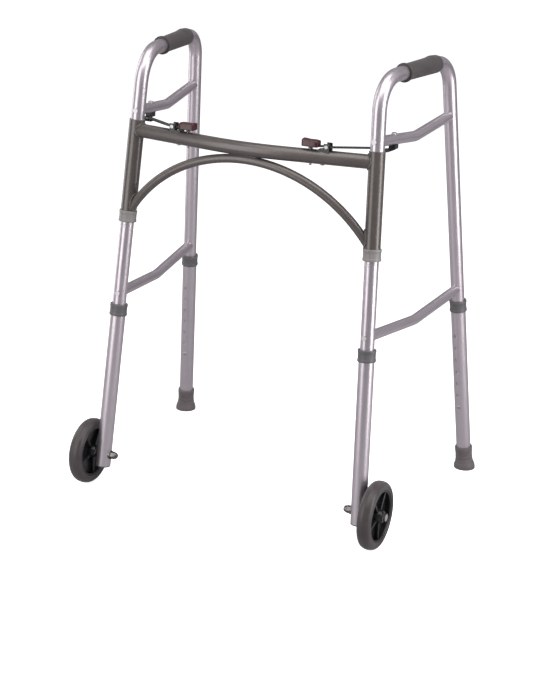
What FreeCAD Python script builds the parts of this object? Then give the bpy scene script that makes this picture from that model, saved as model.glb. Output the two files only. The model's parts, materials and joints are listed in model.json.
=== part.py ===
import FreeCAD, Part
import math
import os

# Folding front-wheeled walker. Millimetres, +Z up, -Y is the front (wheel end), +X is the
# user's left when walking forwards. The origin is on the floor under the middle of the walker.
# Only the left half is modelled; the right half is its mirror image in the plane X = 0.

V = FreeCAD.Vector
X_AXIS = V(1, 0, 0)
Y_AXIS = V(0, 1, 0)
Z_AXIS = V(0, 0, 1)
CUT_LENGTH = 1200.0             # longer than anything it has to cut through
RIVET_FIT = 0.01                # clearance between a rivet and its hole
PRESS_FIT = 0.001

# ---- Overall layout -----------------------------------------------------------------------
FRONT_FOOT = V(269.3, -200.4, 0)        # where the front leg axis meets the floor
REAR_FOOT = V(319.9, 235.6, 0)          # where the rear leg axis meets the floor
FRONT_LEG_RUN = V(-0.045, 0.1113, 1)    # the front leg leans in and back as it rises
REAR_LEG_LEAN = 12.6                    # degrees between the rear and the front leg
HANDLE_HEIGHT = 829.5                   # centre of the hand tube above the floor
HANDLE_FRONT_RADIUS = 62.0
HANDLE_REAR_RADIUS = 50.0

# ---- Tubes --------------------------------------------------------------------------------
WALL = 1.2
FRAME_R = 12.7                          # side frame and cross bar tubes
BRACE_R = 9.5
ARCH_R = 8.0
LOWER_LEG_R = 14.3
SLEEVE_R = 14.5
SLEEVE_BORE_R = 13.3
RUNNING_GAP = 0.05                      # radial clearance of every sliding or turning fit

# ---- Front frame --------------------------------------------------------------------------
CROSS_BAR_Z = 688.5
CROSS_BAR_SWEEP = 0.155                 # forward run per millimetre towards the middle
CROSS_BAR_BEND_HALF = 75.0              # half the length of the bend in the middle
SLEEVE_TOP_Z = 706.5
SLEEVE_BOTTOM_Z = 539.4
SLEEVE_COLLAR_HEIGHT = 21.3
SPIGOT = 14.0                           # part of a bush or collar inside the sleeve
BUSH_FLANGE = 1.2
COLLAR_R = 16.8
ARCH_END_Z = 532.0                      # where the arch axis reaches the leg axis
ARCH_SINK = 1.2                         # how far the crown beds into the cross bar weld

# ---- Side braces --------------------------------------------------------------------------
UPPER_BRACE_Z = (724.0, 711.0, 727.5)   # front end, bend and rear end heights
LOWER_BRACE_Z = (383.0, 368.7, 384.5)
BRACE_BEND_R = 70.0
BRACE_PLUG = 16.0                       # solid plug in each brace end
RIVET_R = 2.4
RIVET_HEAD_R = 4.6
RIVET_HEAD = 1.6
RIVET_SHORT = 4.0                       # plug left solid beyond the rivet
RETAINER_R = 3.0
RETAINER_BELOW_COLLAR = 7.0
RETAINER_TAIL = 3.0                     # stands out behind the leg
RETAINER_NOSE = 0.6                     # stands out in front of it

# ---- Telescopic legs ----------------------------------------------------------------------
LEG_COLLAR_TOP_Z = 361.0
LEG_COLLAR_HEIGHT = 22.0
LEG_COLLAR_LIP = 3.0
COLLAR_EDGE = 1.0
FRONT_LEG_END_Z = 41.5
REAR_LEG_END_Z = 8.0
SNAP_Z = 138.5
SNAP_PITCH = 25.4
SNAP_HOLES = 7
SNAP_R = 3.9
SNAP_TIP = 16.4                         # button tip from the leg axis, button out
TUBE_BELOW_SNAP = 27.0

# ---- Wheels -------------------------------------------------------------------------------
WHEEL_R = 63.5
TYRE_WIDTH = 26.0
TYRE_INNER_R = 49.0
HUB_WIDTH = 30.0
HUB_BOSS_R = 13.0
WHEEL_OFFSET = 32.0                     # wheel centre outboard of the leg axis
AXLE_R = 4.0
BUSH_R = 7.0
TYRE_CROWN = (8.0, 8.8)                 # start of the shoulder: in from the side, down the side
TYRE_CORNER = (4.0, 1.4)                # middle of the shoulder
TYRE_BEAD = (3.0, 2.0)                  # chamfer beside the rim
RIM_SET_BACK = 2.0                      # rim face behind the tyre's side
RIM_THICKNESS = 4.0
WEB_HALF = 1.6
SPOKES = 5
SPOKE_HALF_WIDTH = 3.5
SPOKE_HALF_DEPTH = 9.0
BOSS_EDGE = 1.0
WELD_SINK = 1.0                         # overlap that joins parts of one moulding

# ---- Fold latch ---------------------------------------------------------------------------
PIVOT_X = 152.0
PIVOT_Z = 708.5
PIVOT_SHIFT = 4.0                       # the pivot sits square to the bar this far inboard
BAR_BOTTOM_Z = 707.1
BAR_THICKNESS = 2.0
BAR_HALF_WIDTH = 5.0
CATCH_PLATE_Z = 702.0
CATCH_PLATE_THICKNESS = 1.6
TOOTH_GAP = 0.4
CATCH_BOLT_REACH = 58.0                 # catch bolt behind the front leg axis
STEM_X = 121.0
STEM_R = 2.5
STEM_SLOT_PLAY = 1.0
STEM_SLOT_RUN = 6.0
STEM_BELOW_BAR = 3.5
STEM_EDGE = 0.8
PADDLE_X = (106.0, 137.0)
PADDLE_TOP_Z = 719.5
BRACKET_RIVET_X = 142.0


# ---- Basic shapes -------------------------------------------------------------------------
def rod(start, end, radius):
    """Solid cylinder from one point to another."""
    run = end.sub(start)
    return Part.makeCylinder(radius, run.Length, start, run)


def tube(start, end, outer, inner):
    """Hollow cylinder from one point to another."""
    return rod(start, end, outer).cut(rod(start, end, inner))


def box(low, high):
    """Box between two corners."""
    return Part.makeBox(high[0] - low[0], high[1] - low[1], high[2] - low[2], V(*low))


def plate(outline, bottom, thickness):
    """Flat plate with a given outline in plan."""
    points = [V(x, y, bottom) for x, y in outline]
    wire = Part.makePolygon(points + points[:1])
    return Part.Face(wire).extrude(V(0, 0, thickness))


def turned(profile, axis_start=V(0, 0, 0), axis=Z_AXIS):
    """Solid turned from (radius, height) points about the local Z axis, then aimed along axis."""
    points = [V(r, 0, h) for r, h in profile]
    face = Part.Face(Part.makePolygon(points + points[:1]))
    solid = face.revolve(V(0, 0, 0), Z_AXIS, 360)
    solid.Placement = FreeCAD.Placement(axis_start, FreeCAD.Rotation(Z_AXIS, axis))
    return solid


def bent_path(corners, radii):
    """Wire of straight runs joined by tangent arcs; one radius per inner corner."""
    edges = []
    start = corners[0]
    for before, corner, after, radius in zip(corners, corners[1:], corners[2:], radii):
        into = corner.sub(before).normalize()
        out = after.sub(corner).normalize()
        turn = into.getAngle(out)
        reach = radius * math.tan(turn / 2)
        arc_start = corner.sub(into * reach)
        arc_end = corner.add(out * reach)
        inward = out.sub(into).normalize()
        depth = radius * (1 / math.cos(turn / 2) - 1)
        edges.append(Part.LineSegment(start, arc_start).toShape())
        edges.append(Part.Arc(arc_start, corner.add(inward * depth), arc_end).toShape())
        start = arc_end
    edges.append(Part.LineSegment(start, corners[-1]).toShape())
    return Part.Wire(edges)


def swept(path, radius):
    """Round bar swept along a path."""
    first = path.Edges[0]
    start = first.valueAt(first.FirstParameter)
    heading = first.tangentAt(first.FirstParameter)
    section = Part.Wire(Part.makeCircle(radius, start, heading))
    return path.makePipeShell([section], True, True)


def group(solids):
    """Several separate solids in one node."""
    return Part.makeCompound(solids)


# ---- Frames of reference ------------------------------------------------------------------
# Side frame: Z up the front leg, Y in the plane of the side frame towards the rear leg,
# X outboard. Leg frames: the same, with Z along that leg and the origin on the floor.
LEG_AXIS = V(FRONT_LEG_RUN).normalize()
OUTBOARD = REAR_FOOT.sub(FRONT_FOOT).cross(LEG_AXIS).normalize()
REARWARD = LEG_AXIS.cross(OUTBOARD)


def frame_at(origin, x_dir, y_dir, z_dir):
    """Placement whose axes point along three given directions."""
    return FreeCAD.Placement(FreeCAD.Matrix(
        x_dir.x, y_dir.x, z_dir.x, origin.x,
        x_dir.y, y_dir.y, z_dir.y, origin.y,
        x_dir.z, y_dir.z, z_dir.z, origin.z))


SIDE = frame_at(FRONT_FOOT, OUTBOARD, REARWARD, LEG_AXIS)
LEAN = math.radians(REAR_LEG_LEAN)
REAR_AXIS = LEG_AXIS * math.cos(LEAN) - REARWARD * math.sin(LEAN)
REAR = frame_at(REAR_FOOT, OUTBOARD, REAR_AXIS.cross(OUTBOARD), REAR_AXIS)
FRONT_RISE = LEG_AXIS.z                 # height gained per millimetre along each leg
REAR_RISE = REAR_AXIS.z


def placed(shape, placement):
    """Copy of a shape built at the origin, moved into a frame."""
    moved = shape.copy()
    moved.Placement = placement.multiply(moved.Placement)
    return moved


def front_axis_at(height):
    """Point of the front leg axis at a height above the floor."""
    return FRONT_FOOT + LEG_AXIS * (height / FRONT_RISE)


def rear_axis_at(height):
    """Point of the rear leg axis at a height above the floor."""
    return REAR_FOOT + REAR_AXIS * (height / REAR_RISE)


def in_side_plane(reach, height):
    """Point of the side frame's plane: reach behind the front leg axis, at a height."""
    along = (height - REARWARD.z * reach) / LEG_AXIS.z
    return FRONT_FOOT + LEG_AXIS * along + REARWARD * reach


# ---- Side frame ---------------------------------------------------------------------------
SNAP_ALONG_FRONT = SNAP_Z / FRONT_RISE
SNAP_ALONG_REAR = SNAP_Z / REAR_RISE
HANDLE_FRONT = in_side_plane(0, HANDLE_HEIGHT)
HANDLE_REAR = rear_axis_at(HANDLE_HEIGHT)
HANDLE_DIRECTION = HANDLE_REAR.sub(HANDLE_FRONT).normalize()

SIDE_PATH = bent_path(
    [FRONT_FOOT + LEG_AXIS * (SNAP_ALONG_FRONT - TUBE_BELOW_SNAP),
     HANDLE_FRONT,
     HANDLE_REAR,
     REAR_FOOT + REAR_AXIS * (SNAP_ALONG_REAR - TUBE_BELOW_SNAP)],
    [HANDLE_FRONT_RADIUS, HANDLE_REAR_RADIUS])
SIDE_TUBE_OUTER = swept(SIDE_PATH, FRAME_R)


def brace_corners(heights):
    """Ends on the two leg axes and the bend between them."""
    front_z, bend_z, rear_z = heights
    rear_end = rear_axis_at(rear_z)
    half_reach = REARWARD.dot(rear_end.sub(FRONT_FOOT)) / 2
    return [front_axis_at(front_z), in_side_plane(half_reach, bend_z), rear_end]


def brace_outer(heights):
    """Brace as a solid bar, coped to the legs."""
    bar = swept(bent_path(brace_corners(heights), [BRACE_BEND_R]), BRACE_R)
    return bar.cut(SIDE_TUBE_OUTER)


def brace_rivet(leg_point, brace_point, extra=0.0):
    """Rivet through a leg into the end plug of a brace."""
    inward = brace_point.sub(leg_point).normalize()
    head_seat = leg_point - inward * FRAME_R
    shank_end = leg_point + inward * (FRAME_R + BRACE_PLUG - RIVET_SHORT)
    shank = rod(head_seat - inward * (RIVET_HEAD / 2), shank_end, RIVET_R + extra)
    if extra:
        return shank
    head = rod(head_seat - inward * RIVET_HEAD, head_seat, RIVET_HEAD_R)
    return head.fuse(shank).cut(
        SIDE_TUBE_OUTER.cut(rod(leg_point, leg_point - inward * CUT_LENGTH, RIVET_R))
        .cut(rod(leg_point, leg_point + inward * CUT_LENGTH, RIVET_R)))


def brace_rivets(heights, extra=0.0):
    """The rivets at both ends of a brace."""
    front, bend, rear = brace_corners(heights)
    return [brace_rivet(front, bend, extra), brace_rivet(rear, bend, extra)]


def brace(heights):
    """Tubular brace with plugged ends."""
    corners = brace_corners(heights)
    shape = brace_outer(heights)
    bore = swept(bent_path(corners, [BRACE_BEND_R]), BRACE_R - WALL)
    for end, towards in ((corners[0], corners[1]), (corners[2], corners[1])):
        run = towards.sub(end).normalize()
        bore = bore.cut(rod(end - run * FRAME_R, end + run * (FRAME_R + BRACE_PLUG), 2 * BRACE_R))
    shape = shape.cut(bore)
    for hole in brace_rivets(heights, RIVET_FIT):
        shape = shape.cut(hole)
    return shape


RETAINER_Z = SLEEVE_BOTTOM_Z - SLEEVE_COLLAR_HEIGHT - RETAINER_BELOW_COLLAR


def retaining_rivet(extra=0.0):
    """Rivet across the front leg that keeps the leg from rising through the sleeve."""
    centre = front_axis_at(RETAINER_Z)
    tail = centre + REARWARD * (FRAME_R + RETAINER_TAIL)
    nose = centre - REARWARD * (FRAME_R + RETAINER_NOSE)
    return rod(nose, tail, RETAINER_R + extra)


def snap_hole(placement, along, side):
    """Drill for a snap button; side is +1 towards the rear and -1 towards the front."""
    hole = rod(V(0, 0, along), V(0, side * 2 * LOWER_LEG_R, along), SNAP_R + RUNNING_GAP)
    return placed(hole, placement)


def side_tube():
    """The bent loop: front leg, hand tube and rear leg in one length."""
    shape = SIDE_TUBE_OUTER.cut(swept(SIDE_PATH, FRAME_R - WALL))
    holes = brace_rivets(UPPER_BRACE_Z, RIVET_FIT) + brace_rivets(LOWER_BRACE_Z, RIVET_FIT)
    holes.append(retaining_rivet(RIVET_FIT))
    holes.append(snap_hole(SIDE, SNAP_ALONG_FRONT, 1))
    holes.append(snap_hole(REAR, SNAP_ALONG_REAR, -1))
    for hole in holes:
        shape = shape.cut(hole)
    return shape


def side_rivets():
    """Brace rivets and the retaining rivet of one side frame."""
    rivets = brace_rivets(UPPER_BRACE_Z) + brace_rivets(LOWER_BRACE_Z)
    return group(rivets + [retaining_rivet()])


GRIP_START = 80.0
GRIP_LENGTH = 126.0
GRIP_R = 16.2
GRIP_FLANGE_R = 17.4
GRIP_FLANGE = 7.0
GRIP_TAPER = 2.0
GRIP_EDGE = 1.2


def hand_grip():
    """Moulded grip with a flange at each end, pushed onto the hand tube."""
    start = HANDLE_FRONT + HANDLE_DIRECTION * GRIP_START
    profile = [
        (FRAME_R, 0),
        (GRIP_FLANGE_R - GRIP_EDGE, 0),
        (GRIP_FLANGE_R, GRIP_EDGE),
        (GRIP_FLANGE_R, GRIP_FLANGE),
        (GRIP_R, GRIP_FLANGE + GRIP_TAPER),
        (GRIP_R, GRIP_LENGTH - GRIP_FLANGE - GRIP_TAPER),
        (GRIP_FLANGE_R, GRIP_LENGTH - GRIP_FLANGE),
        (GRIP_FLANGE_R, GRIP_LENGTH - GRIP_EDGE),
        (GRIP_FLANGE_R - GRIP_EDGE, GRIP_LENGTH),
        (FRAME_R, GRIP_LENGTH)]
    return turned(profile, start, HANDLE_DIRECTION)


# ---- Snap buttons -------------------------------------------------------------------------
SNAP_SPRING_WIDTH = 7.0
SNAP_SPRING_THICKNESS = 0.8
SNAP_SHOULDER = 9.6                     # back of the button, where the spring bears
SNAP_NOSE = 1.6
LEAF_TOP = 8.0                          # leaf ends above the button
LEAF_KNEE = 8.0                         # straight part below the button
LEAF_FOLD = 20.0                        # fold of the V below the button
LEAF_FOLD_REACH = 1.5
LEAF_WALL_GAP = 0.4
LEAF_SPREAD = 2.4
LEAF_FOOT = 3.0


def snap_button(placement, along, side):
    """Round-nosed locking button."""
    profile = [(0, SNAP_SHOULDER), (SNAP_R, SNAP_SHOULDER), (SNAP_R, SNAP_TIP - SNAP_NOSE),
               (SNAP_R - SNAP_NOSE, SNAP_TIP), (0, SNAP_TIP)]
    return placed(turned(profile, V(0, 0, along), V(0, side, 0)), placement)


def snap_spring(placement, along, side):
    """Leaf spring folded in a V inside the leg, under the button."""
    far_wall = -(FRAME_R - WALL - LEAF_WALL_GAP)
    half = SNAP_SPRING_WIDTH / 2
    top = along + LEAF_TOP
    knee = along - LEAF_KNEE
    fold = along - LEAF_FOLD
    leaf = SNAP_SPRING_THICKNESS
    outline = [V(0, SNAP_SHOULDER, top), V(0, SNAP_SHOULDER, knee), V(0, LEAF_FOLD_REACH, fold),
               V(0, far_wall + LEAF_FOOT, fold), V(0, far_wall + LEAF_SPREAD, top),
               V(0, far_wall + LEAF_SPREAD + leaf, top),
               V(0, far_wall + LEAF_FOOT + leaf, fold + leaf),
               V(0, LEAF_FOLD_REACH - leaf, fold + leaf), V(0, SNAP_SHOULDER - leaf, knee),
               V(0, SNAP_SHOULDER - leaf, top)]
    outline = [V(-half, side * p.y, p.z) for p in outline]
    face = Part.Face(Part.makePolygon(outline + outline[:1]))
    return placed(face.extrude(V(SNAP_SPRING_WIDTH, 0, 0)), placement)


# ---- Lower legs ---------------------------------------------------------------------------
def lower_leg(placement, rise, end_z, side):
    """Outer tube of a telescopic leg with its row of adjustment holes."""
    top = (LEG_COLLAR_TOP_Z / rise) - LEG_COLLAR_LIP
    shape = tube(V(0, 0, end_z / rise), V(0, 0, top), LOWER_LEG_R, LOWER_LEG_R - WALL)
    shape = placed(shape, placement)
    for index in range(SNAP_HOLES):
        along = SNAP_Z / rise + index * SNAP_PITCH
        shape = shape.cut(snap_hole(placement, along, side))
    return shape


def leg_collar(placement, rise):
    """Plastic collar capping the outer tube; its lip guides the inner tube."""
    top = LEG_COLLAR_TOP_Z / rise
    shoulder = top - LEG_COLLAR_LIP
    bottom = top - LEG_COLLAR_HEIGHT
    guide = FRAME_R + RUNNING_GAP
    profile = [
        (LOWER_LEG_R, bottom),
        (COLLAR_R - COLLAR_EDGE, bottom),
        (COLLAR_R, bottom + COLLAR_EDGE),
        (COLLAR_R, top - COLLAR_EDGE),
        (COLLAR_R - COLLAR_EDGE, top),
        (guide, top),
        (guide, shoulder),
        (LOWER_LEG_R, shoulder)]
    return placed(turned(profile), placement)


TIP_PROFILE = [(20.4, -6), (21.6, 2), (21.4, 8), (19.0, 14), (17.2, 20), (16.6, 30),
               (17.4, 40), (17.4, 46), (16.4, 49)]      # radius and height of the outside


def rubber_tip():
    """Ferrule tip, trimmed flat to the floor."""
    socket = REAR_LEG_END_Z / REAR_RISE
    bottom = TIP_PROFILE[0][1]
    top = TIP_PROFILE[-1][1]
    inside = [(LOWER_LEG_R, top), (LOWER_LEG_R, socket), (0, socket)]
    shape = placed(turned([(0, bottom)] + TIP_PROFILE + inside), REAR)
    reach = 2 * TIP_PROFILE[0][0]
    below = box((REAR_FOOT.x - reach, REAR_FOOT.y - reach, -reach),
                (REAR_FOOT.x + reach, REAR_FOOT.y + reach, 0))
    return shape.cut(below)


# ---- Wheels -------------------------------------------------------------------------------
AXLE = front_axis_at(WHEEL_R)
WHEEL_CENTRE = AXLE + X_AXIS * WHEEL_OFFSET


def wheel_turned(profile):
    """Part turned about the axle; heights run outboard from the wheel's middle."""
    return turned(profile, WHEEL_CENTRE, X_AXIS)


def wheel_tyre():
    """Solid tyre with rounded shoulders."""
    half = TYRE_WIDTH / 2
    outer_half = [
        (WHEEL_R, half - TYRE_CROWN[0]),
        (WHEEL_R - TYRE_CORNER[1], half - TYRE_CORNER[0]),
        (WHEEL_R - TYRE_CORNER[0], half - TYRE_CORNER[1]),
        (WHEEL_R - TYRE_CROWN[1], half),
        (TYRE_INNER_R + TYRE_BEAD[0], half),
        (TYRE_INNER_R, half - TYRE_BEAD[1])]
    inner_half = [(radius, -height) for radius, height in reversed(outer_half)]
    return wheel_turned(inner_half + outer_half)


def wheel_hub():
    """Moulded hub: rim, boss, thin web and spokes."""
    rim_half = TYRE_WIDTH / 2 - RIM_SET_BACK
    rim_inner = TYRE_INNER_R - RIM_THICKNESS
    into_rim = rim_inner + WELD_SINK
    into_boss = HUB_BOSS_R - 2 * WELD_SINK
    half = HUB_WIDTH / 2
    rim = wheel_turned([(rim_inner, -rim_half), (TYRE_INNER_R, -rim_half),
                        (TYRE_INNER_R, rim_half), (rim_inner, rim_half)])
    web = wheel_turned([(BUSH_R, -WEB_HALF), (into_rim, -WEB_HALF),
                        (into_rim, WEB_HALF), (BUSH_R, WEB_HALF)])
    boss_end = HUB_BOSS_R - BOSS_EDGE
    boss = wheel_turned([(BUSH_R, -half), (boss_end, -half), (HUB_BOSS_R, -half + BOSS_EDGE),
                         (HUB_BOSS_R, half - BOSS_EDGE), (boss_end, half), (BUSH_R, half)])
    shape = rim.fuse(web).fuse(boss)
    for index in range(SPOKES):
        spoke = box((-SPOKE_HALF_DEPTH, -SPOKE_HALF_WIDTH, into_boss),
                    (SPOKE_HALF_DEPTH, SPOKE_HALF_WIDTH, into_rim))
        spoke.rotate(V(0, 0, 0), X_AXIS, index * 360.0 / SPOKES)
        spoke.translate(WHEEL_CENTRE)
        shape = shape.fuse(spoke)
    return shape.removeSplitter()


def wheel_bush():
    """Nylon bush pressed in the hub."""
    half = HUB_WIDTH / 2
    bore = AXLE_R + RUNNING_GAP
    return wheel_turned([(bore, -half), (BUSH_R, -half), (BUSH_R, half), (bore, half)])


def hexagon(radius, start, thickness):
    """Hexagonal prism along X from a point on the axle."""
    corners = [start + V(0, radius * math.cos(i * math.pi / 3), radius * math.sin(i * math.pi / 3))
               for i in range(6)]
    return Part.Face(Part.makePolygon(corners + corners[:1])).extrude(X_AXIS * thickness)


SPACER_GAP = 0.3
HUB_OUTER = WHEEL_OFFSET + HUB_WIDTH / 2
HUB_INNER = WHEEL_OFFSET - HUB_WIDTH / 2
WASHER = 1.4
WASHER_R = 9.0
INNER_WASHER = 1.5
INNER_WASHER_R = 8.5
SPACER_R = 7.0
HEX_R = 7.5
BOLT_HEAD = 5.0
NUT_HEIGHT = 6.5
NUT_DOME = [(0, 6), (7.0, 6), (6.2, 10), (4.6, 12.5), (0, 13.6)]
BOLT_PAST_LEG = 11.0


def axle_bolt():
    """Hexagon bolt through the hub and the leg."""
    head_seat = HUB_OUTER + SPACER_GAP + WASHER
    head = hexagon(HEX_R, AXLE + X_AXIS * head_seat, BOLT_HEAD)
    shank = rod(AXLE - X_AXIS * (LOWER_LEG_R + BOLT_PAST_LEG),
                AXLE + X_AXIS * (head_seat + WELD_SINK), AXLE_R)
    return head.fuse(shank).removeSplitter()


def axle_nut_set():
    """Washers, spacer and domed lock nut on the axle bolt."""
    outer_start = HUB_OUTER + SPACER_GAP
    washer = tube(AXLE + X_AXIS * outer_start, AXLE + X_AXIS * (outer_start + WASHER),
                  WASHER_R, AXLE_R)
    spacer = tube(AXLE, AXLE + X_AXIS * (HUB_INNER - SPACER_GAP), SPACER_R, AXLE_R)
    nut_seat = AXLE - X_AXIS * (LOWER_LEG_R + INNER_WASHER)
    inner_washer = tube(nut_seat, AXLE, INNER_WASHER_R, AXLE_R)
    leg = rod(FRONT_FOOT, front_axis_at(LEG_COLLAR_TOP_Z), LOWER_LEG_R)
    nut = hexagon(HEX_R, nut_seat, -NUT_HEIGHT)
    dome = turned(NUT_DOME, nut_seat, V(-1, 0, 0))
    bolt = rod(AXLE - X_AXIS * (LOWER_LEG_R + BOLT_PAST_LEG), AXLE, AXLE_R)
    nut = nut.fuse(dome).cut(bolt)
    return group([washer, spacer.cut(leg), inner_washer.cut(leg), nut])


PLUG_CAP = 2.5
PLUG_DEPTH = 12.0
PLUG_EDGE = 1.0


def leg_end_plug():
    """Plug in the open bottom end of a front leg."""
    end = FRONT_LEG_END_Z / FRONT_RISE
    bore = LOWER_LEG_R - WALL
    bottom = end - PLUG_CAP
    profile = [(0, bottom), (LOWER_LEG_R - PLUG_EDGE, bottom), (LOWER_LEG_R, bottom + PLUG_EDGE),
               (LOWER_LEG_R, end), (bore, end), (bore, end + PLUG_DEPTH), (0, end + PLUG_DEPTH)]
    return placed(turned(profile), SIDE)


def front_lower_leg():
    """Front outer tube, drilled for the axle."""
    leg = lower_leg(SIDE, FRONT_RISE, FRONT_LEG_END_Z, 1)
    reach = X_AXIS * (3 * LOWER_LEG_R)
    return leg.cut(rod(AXLE - reach, AXLE + reach, AXLE_R))


# ---- Front frame --------------------------------------------------------------------------
BAR_END = front_axis_at(CROSS_BAR_Z)


def cross_bar_y(x):
    """Y of the cross bar's axis on its straight run."""
    return BAR_END.y - CROSS_BAR_SWEEP * (BAR_END.x - abs(x))


def cross_bar_path():
    """Two straight runs joined by a long bend in the middle."""
    corner = V(0, cross_bar_y(0), CROSS_BAR_Z)
    sweep_angle = math.atan(CROSS_BAR_SWEEP)
    radius = CROSS_BAR_BEND_HALF / math.sin(sweep_angle)
    ends = [V(-BAR_END.x, BAR_END.y, CROSS_BAR_Z), V(BAR_END.x, BAR_END.y, CROSS_BAR_Z)]
    return bent_path([ends[0], corner, ends[1]], [radius])


CROSS_BAR_OUTER = swept(cross_bar_path(), FRAME_R)
SLEEVE_FROM = front_axis_at(SLEEVE_BOTTOM_Z)
SLEEVE_TO = front_axis_at(SLEEVE_TOP_Z)
SLEEVE_CUTTER = rod(front_axis_at(SLEEVE_BOTTOM_Z - 4 * SLEEVE_R),
                    front_axis_at(SLEEVE_TOP_Z + SLEEVE_R), SLEEVE_R)


def mirrored(shape):
    """The same part on the user's right."""
    return shape.mirror(V(0, 0, 0), X_AXIS)


PIVOT = V(PIVOT_X, cross_bar_y(PIVOT_X - PIVOT_SHIFT), PIVOT_Z)
PADDLE_Y = cross_bar_y(STEM_X)


def slot_through_bar(x, y, width, length):
    """Vertical slot, long in X."""
    low = CROSS_BAR_Z - 2 * FRAME_R
    high = CROSS_BAR_Z + 2 * FRAME_R
    half = (length - width) / 2
    ends = [rod(V(x + dx, y, low), V(x + dx, y, high), width / 2) for dx in (-half, half)]
    middle = box((x - half, y - width / 2, low), (x + half, y + width / 2, high))
    return ends[0].fuse(ends[1]).fuse(middle)


def cross_bar():
    """Bowed tube between the sleeves, slotted for the paddle stems."""
    shape = CROSS_BAR_OUTER.cut(swept(cross_bar_path(), FRAME_R - WALL))
    stem_slot = slot_through_bar(STEM_X, PADDLE_Y, 2 * STEM_R + STEM_SLOT_PLAY,
                                 2 * STEM_R + STEM_SLOT_RUN)
    rivet_hole = rod(V(BRACKET_RIVET_X, PIVOT.y, CROSS_BAR_Z - 2 * FRAME_R),
                     V(BRACKET_RIVET_X, PIVOT.y, CROSS_BAR_Z + 2 * FRAME_R), RIVET_R)
    for cutter in (SLEEVE_CUTTER, stem_slot, rivet_hole):
        shape = shape.cut(cutter).cut(mirrored(cutter))
    return shape


def arch_brace():
    """Arched tube from sleeve to sleeve, its crown welded under the cross bar."""
    end = front_axis_at(ARCH_END_Z)
    middle = cross_bar_path().Edges[1]
    crown_y = middle.valueAt((middle.FirstParameter + middle.LastParameter) / 2).y
    crown_z = CROSS_BAR_Z - FRAME_R - ARCH_R + ARCH_SINK
    path = Part.Wire([Part.Arc(V(-end.x, end.y, end.z), V(0, crown_y, crown_z), end).toShape()])
    shape = swept(path, ARCH_R).cut(swept(path, ARCH_R - WALL))
    for cutter in (SLEEVE_CUTTER, mirrored(SLEEVE_CUTTER), CROSS_BAR_OUTER):
        shape = shape.cut(cutter)
    return max(shape.Solids, key=lambda solid: solid.Volume)


def hinge_sleeve():
    """Outer tube of the front frame that the front leg turns in."""
    return tube(SLEEVE_FROM, SLEEVE_TO, SLEEVE_R, SLEEVE_BORE_R)


def sleeve_collar():
    """Plastic collar under the sleeve, with a spigot that guides the leg."""
    bottom = SLEEVE_BOTTOM_Z / FRONT_RISE - SLEEVE_COLLAR_HEIGHT
    top = SLEEVE_BOTTOM_Z / FRONT_RISE
    guide = FRAME_R + RUNNING_GAP
    profile = [(guide, bottom), (COLLAR_R - COLLAR_EDGE, bottom), (COLLAR_R, bottom + COLLAR_EDGE),
               (COLLAR_R, top - COLLAR_EDGE), (COLLAR_R - COLLAR_EDGE, top), (SLEEVE_BORE_R, top),
               (SLEEVE_BORE_R, top + SPIGOT), (guide, top + SPIGOT)]
    return placed(turned(profile), SIDE)


def sleeve_top_bush():
    """Flanged bush in the top of the sleeve."""
    top = SLEEVE_TOP_Z / FRONT_RISE
    guide = FRAME_R + RUNNING_GAP
    profile = [(guide, top - SPIGOT), (SLEEVE_BORE_R, top - SPIGOT), (SLEEVE_BORE_R, top),
               (SLEEVE_R, top), (SLEEVE_R, top + BUSH_FLANGE), (guide, top + BUSH_FLANGE)]
    return placed(turned(profile), SIDE)


# ---- Fold latch ---------------------------------------------------------------------------
BRACKET_BASE = 1.2
BRACKET_EAR = 1.6
EAR_INNER = 6.6
PIVOT_PIN_R = 2.0
KNUCKLE_R = 4.0
BRACKET_INBOARD = 17.0
BRACKET_OUTBOARD = 5.0
EAR_TOP = 5.5                           # above the pivot
BRACKET_RIVET_HEAD = 1.4
BRACKET_RIVET_HEAD_R = 4.0
PIN_HEAD = 1.2
REACH_PAST = 20.0                       # cutters run this far past the part
BAR_TOP_Z = CROSS_BAR_Z + FRAME_R


def latch_bracket():
    """Steel saddle on the cross bar with two ears for the latch pivot."""
    outer = EAR_INNER + BRACKET_EAR
    shape = box((PIVOT.x - BRACKET_INBOARD, PIVOT.y - outer, BAR_TOP_Z - BRACKET_OUTBOARD),
                (PIVOT.x + BRACKET_OUTBOARD, PIVOT.y + outer, BAR_TOP_Z + BRACKET_BASE))
    for side in (-1, 1):
        near = min(side * EAR_INNER, side * outer)
        far = max(side * EAR_INNER, side * outer)
        ear = box((PIVOT.x - BRACKET_OUTBOARD, PIVOT.y + near, BAR_TOP_Z),
                  (PIVOT.x + BRACKET_OUTBOARD, PIVOT.y + far, PIVOT.z + EAR_TOP))
        shape = shape.fuse(ear)
    shape = shape.cut(CROSS_BAR_OUTER)
    shape = max(shape.Solids, key=lambda solid: solid.Volume)
    pin = rod(PIVOT - Y_AXIS * REACH_PAST, PIVOT + Y_AXIS * REACH_PAST, PIVOT_PIN_R)
    rivet = rod(V(BRACKET_RIVET_X, PIVOT.y, BAR_TOP_Z - REACH_PAST),
                V(BRACKET_RIVET_X, PIVOT.y, BAR_TOP_Z + REACH_PAST), RIVET_R)
    return shape.cut(pin).cut(rivet).removeSplitter()


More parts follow.
